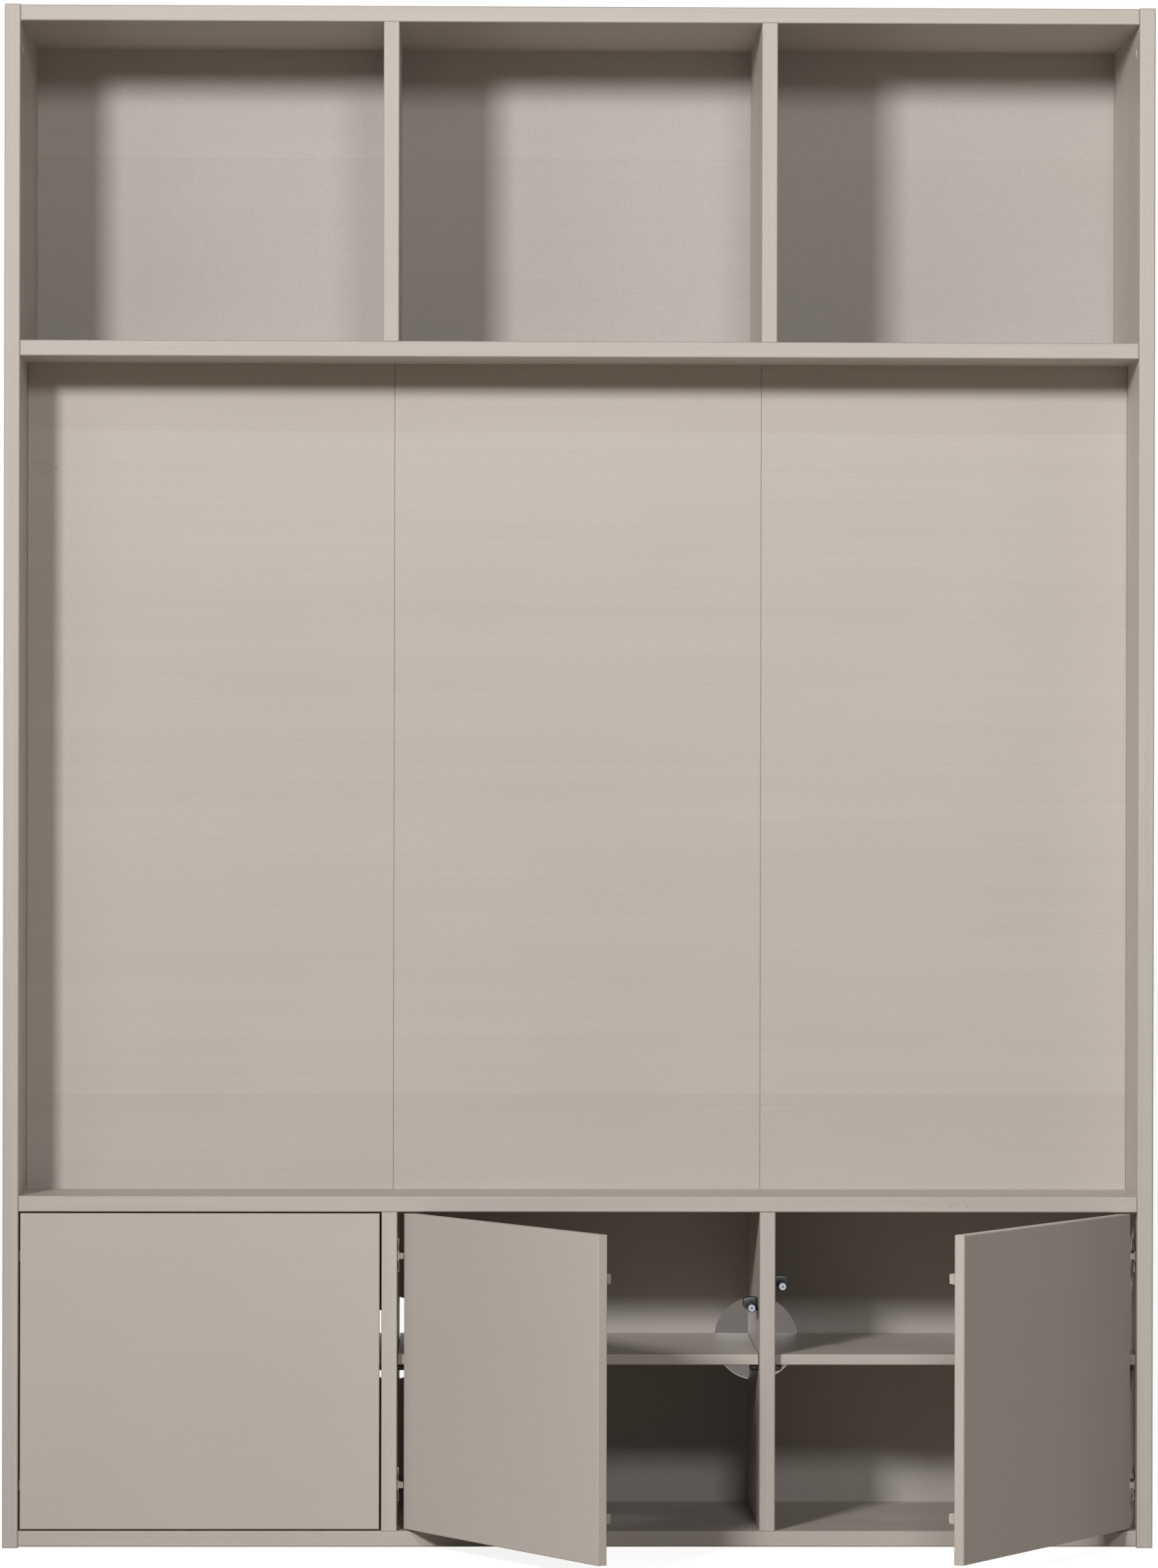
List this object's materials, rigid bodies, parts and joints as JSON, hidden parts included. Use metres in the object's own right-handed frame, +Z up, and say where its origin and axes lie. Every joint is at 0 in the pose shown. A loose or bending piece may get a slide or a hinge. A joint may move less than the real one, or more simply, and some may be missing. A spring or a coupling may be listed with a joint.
{
  "type": "wall unit",
  "caption": "Tall painted wall unit with open bays on top, a media niche with a boarded back, and push-open cabinets with inner shelves below.",
  "frame": {"origin": "middle of the bounding box's foot, on the floor, with the middle and right doors standing open", "axes": "+Z up, +Y from the front towards the wall behind, +X to the right as seen from the front"},
  "size_m": [1.6, 0.7977, 2.143],
  "materials": {
    "painted_pine": "satin warm grey-beige paint over lightly grained pine",
    "hinge_steel": "satin nickel plate on pressed steel",
    "dark_steel": "darkened steel",
    "pale_plastic": "smooth bluish white",
    "cap_plastic": "smooth pale beige",
    "black_plastic": "moulded, slightly glossy black"
  },
  "bodies": {
    "carcass": {"bottom_panel": "painted_pine", "cabinet_top": "painted_pine", "upper_shelf": "painted_pine", "top_panel": "painted_pine", "left_side_panel": "painted_pine", "right_side_panel": "painted_pine", "upper_divider_left": "painted_pine", "upper_divider_right": "painted_pine", "lower_divider_left": "painted_pine", "lower_divider_right": "painted_pine", "upper_back_panel": "painted_pine", "lower_back_panel": "painted_pine", "media_board_left": "painted_pine", "media_board_centre": "painted_pine", "media_board_right": "painted_pine", "media_cleat_lower": "painted_pine", "media_cleat_upper": "painted_pine", "wall_rail": "painted_pine", "left_cabinet_shelf": "painted_pine", "middle_cabinet_shelf": "painted_pine", "right_cabinet_shelf": "painted_pine", "hinge_plates": "hinge_steel", "hinge_arms": "hinge_steel", "shelf_pins": "dark_steel", "cover_caps": "cap_plastic", "floor_glides": "black_plastic", "latch_housings": "black_plastic"},
    "left_links": {"left_hinge_links": "hinge_steel"},
    "left_door": {"left_door": "painted_pine", "left_door_battens": "painted_pine", "left_hinge_cups": "hinge_steel"},
    "left_plunger": {"left_latch_plunger": "pale_plastic"},
    "middle_links": {"middle_hinge_links": "hinge_steel"},
    "middle_door": {"middle_door": "painted_pine", "middle_door_battens": "painted_pine", "middle_hinge_cups": "hinge_steel"},
    "middle_plunger": {"middle_latch_plunger": "pale_plastic"},
    "right_links": {"right_hinge_links": "hinge_steel"},
    "right_door": {"right_door": "painted_pine", "right_door_battens": "painted_pine", "right_hinge_cups": "hinge_steel"},
    "right_plunger": {"right_latch_plunger": "pale_plastic"}
  },
  "joints": [
    {"name": "left_door_links", "type": "hinge", "parent": "carcass", "child": "left_links", "pos_m": [-0.748, 0.04522, 0.2455], "axis": [0, 0, 1], "range_deg": [0, 63.05]},
    {"name": "left_door_swing", "type": "hinge", "parent": "left_links", "child": "left_door", "pos_m": [-0.7655, 0.03072, 0.2455], "axis": [0, 0, -1], "range_deg": [0, 168]},
    {"name": "left_latch_push", "type": "slide", "parent": "carcass", "child": "left_plunger", "axis": [0, -1, 0], "range_m": [0, 0.01401]},
    {"name": "middle_door_links", "type": "hinge", "parent": "carcass", "child": "middle_links", "pos_m": [-0.222, 0.04522, 0.2455], "axis": [0, 0, 1], "range_deg": [-35.09, 28.01]},
    {"name": "middle_door_swing", "type": "hinge", "parent": "middle_links", "child": "middle_door", "pos_m": [-0.228, 0.0233, 0.2455], "axis": [0, 0, -1], "range_deg": [-93.44, 74.56]},
    {"name": "middle_latch_push", "type": "slide", "parent": "carcass", "child": "middle_plunger", "axis": [0, -1, 0], "range_m": [-0.0078, 0.00622]},
    {"name": "right_door_links", "type": "hinge", "parent": "carcass", "child": "right_links", "pos_m": [0.748, 0.04522, 0.2455], "axis": [0, 0, -1], "range_deg": [-34.85, 28.25]},
    {"name": "right_door_swing", "type": "hinge", "parent": "right_links", "child": "right_door", "pos_m": [0.75409, 0.02333, 0.2455], "axis": [0, 0, 1], "range_deg": [-92.8, 75.2]},
    {"name": "right_latch_push", "type": "slide", "parent": "carcass", "child": "right_plunger", "axis": [0, -1, 0], "range_m": [-0.00774, 0.00628]}
  ],
  "couplings": [
    {"joint": "left_door_links", "follows": "left_door_swing", "ratio": 0.375},
    {"joint": "left_latch_push", "follows": "left_door_swing", "m_per_rad": 0.0047746},
    {"joint": "middle_door_links", "follows": "middle_door_swing", "ratio": 0.375},
    {"joint": "middle_latch_push", "follows": "middle_door_swing", "m_per_rad": 0.0047746},
    {"joint": "right_door_links", "follows": "right_door_swing", "ratio": 0.375},
    {"joint": "right_latch_push", "follows": "right_door_swing", "m_per_rad": 0.0047746}
  ]
}
